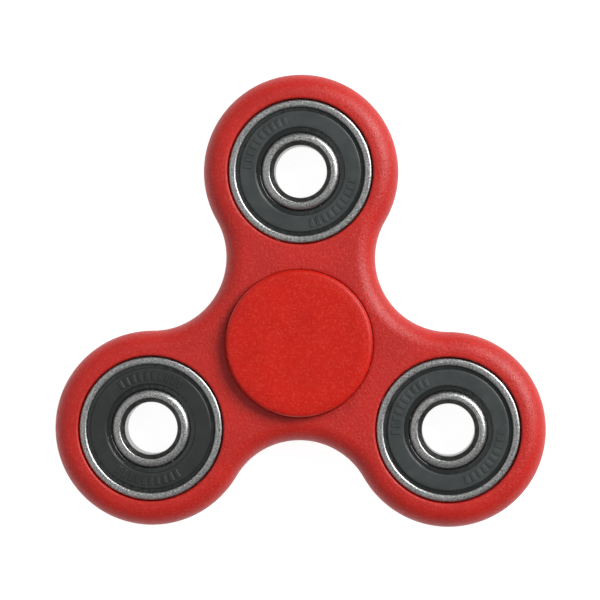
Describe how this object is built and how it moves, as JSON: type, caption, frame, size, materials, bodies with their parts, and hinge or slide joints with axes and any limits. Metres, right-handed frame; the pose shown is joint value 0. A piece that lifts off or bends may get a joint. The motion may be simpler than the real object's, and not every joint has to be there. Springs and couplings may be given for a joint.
{
  "type": "fidget spinner",
  "caption": "Hand spinner: a rounded, lobed plastic frame that turns on a capped middle bearing, with a sealed ball bearing as the weight in each lobe.",
  "frame": {"origin": "on the spin axis, at the outer face of the lower cap, which rests on Z = 0", "axes": "+Z is the spin axis, towards the upper cap; +Y points from the spin axis to the middle of arm 1; +X makes it right-handed"},
  "size_m": [0.0752, 0.0691, 0.012],
  "materials": {
    "frame_plastic": "moulded ABS, semi-gloss with a fine spark-eroded texture",
    "cap_plastic": "moulded ABS, satin",
    "bearing_steel": "ground bearing steel",
    "ball_steel": "polished chrome steel",
    "cage_steel": "pressed steel strip",
    "insert_steel": "stamped steel washer",
    "seal_rubber": "moulded nitrile rubber, matt"
  },
  "bodies": {
    "hub": {"cap_upper": "cap_plastic", "cap_lower": "cap_plastic", "centre_inner_ring": "bearing_steel"},
    "spinner": {"frame": "frame_plastic", "centre_outer_ring": "bearing_steel", "centre_seal_upper": "seal_rubber", "centre_seal_lower": "seal_rubber", "centre_insert_upper": "insert_steel", "centre_insert_lower": "insert_steel", "arm1_outer_ring": "bearing_steel", "arm1_seal_upper": "seal_rubber", "arm1_seal_lower": "seal_rubber", "arm1_insert_upper": "insert_steel", "arm1_insert_lower": "insert_steel", "arm2_outer_ring": "bearing_steel", "arm2_seal_upper": "seal_rubber", "arm2_seal_lower": "seal_rubber", "arm2_insert_upper": "insert_steel", "arm2_insert_lower": "insert_steel", "arm3_outer_ring": "bearing_steel", "arm3_seal_upper": "seal_rubber", "arm3_seal_lower": "seal_rubber", "arm3_insert_upper": "insert_steel", "arm3_insert_lower": "insert_steel"},
    "centre_cage": {"centre_balls": "ball_steel", "centre_cage_upper": "cage_steel", "centre_cage_lower": "cage_steel", "centre_cage_rivets": "cage_steel"},
    "arm1_inner": {"arm1_inner_ring": "bearing_steel"},
    "arm1_cage": {"arm1_balls": "ball_steel", "arm1_cage_upper": "cage_steel", "arm1_cage_lower": "cage_steel", "arm1_cage_rivets": "cage_steel"},
    "arm2_inner": {"arm2_inner_ring": "bearing_steel"},
    "arm2_cage": {"arm2_balls": "ball_steel", "arm2_cage_upper": "cage_steel", "arm2_cage_lower": "cage_steel", "arm2_cage_rivets": "cage_steel"},
    "arm3_inner": {"arm3_inner_ring": "bearing_steel"},
    "arm3_cage": {"arm3_balls": "ball_steel", "arm3_cage_upper": "cage_steel", "arm3_cage_lower": "cage_steel", "arm3_cage_rivets": "cage_steel"}
  },
  "joints": [
    {"name": "body_spin", "type": "hinge", "parent": "hub", "child": "spinner", "pos_m": [0, 0, 0.006], "axis": [0, 0, 1], "continuous": true},
    {"name": "centre_cage_spin", "type": "hinge", "parent": "hub", "child": "centre_cage", "pos_m": [0, 0, 0.006], "axis": [0, 0, 1], "continuous": true},
    {"name": "arm1_spin", "type": "hinge", "parent": "spinner", "child": "arm1_inner", "pos_m": [0, 0.0262, 0.006], "axis": [0, 0, 1], "continuous": true},
    {"name": "arm1_cage_spin", "type": "hinge", "parent": "spinner", "child": "arm1_cage", "pos_m": [0, 0.0262, 0.006], "axis": [0, 0, 1], "continuous": true},
    {"name": "arm2_spin", "type": "hinge", "parent": "spinner", "child": "arm2_inner", "pos_m": [-0.02269, -0.0131, 0.006], "axis": [0, 0, 1], "continuous": true},
    {"name": "arm2_cage_spin", "type": "hinge", "parent": "spinner", "child": "arm2_cage", "pos_m": [-0.02269, -0.0131, 0.006], "axis": [0, 0, 1], "continuous": true},
    {"name": "arm3_spin", "type": "hinge", "parent": "spinner", "child": "arm3_inner", "pos_m": [0.02269, -0.0131, 0.006], "axis": [0, 0, 1], "continuous": true},
    {"name": "arm3_cage_spin", "type": "hinge", "parent": "spinner", "child": "arm3_cage", "pos_m": [0.02269, -0.0131, 0.006], "axis": [0, 0, 1], "continuous": true}
  ],
  "couplings": [
    {"joint": "centre_cage_spin", "follows": "body_spin", "ratio": 0.6323},
    {"joint": "arm1_cage_spin", "follows": "arm1_spin", "ratio": 0.3677},
    {"joint": "arm2_cage_spin", "follows": "arm2_spin", "ratio": 0.3677},
    {"joint": "arm3_cage_spin", "follows": "arm3_spin", "ratio": 0.3677}
  ]
}
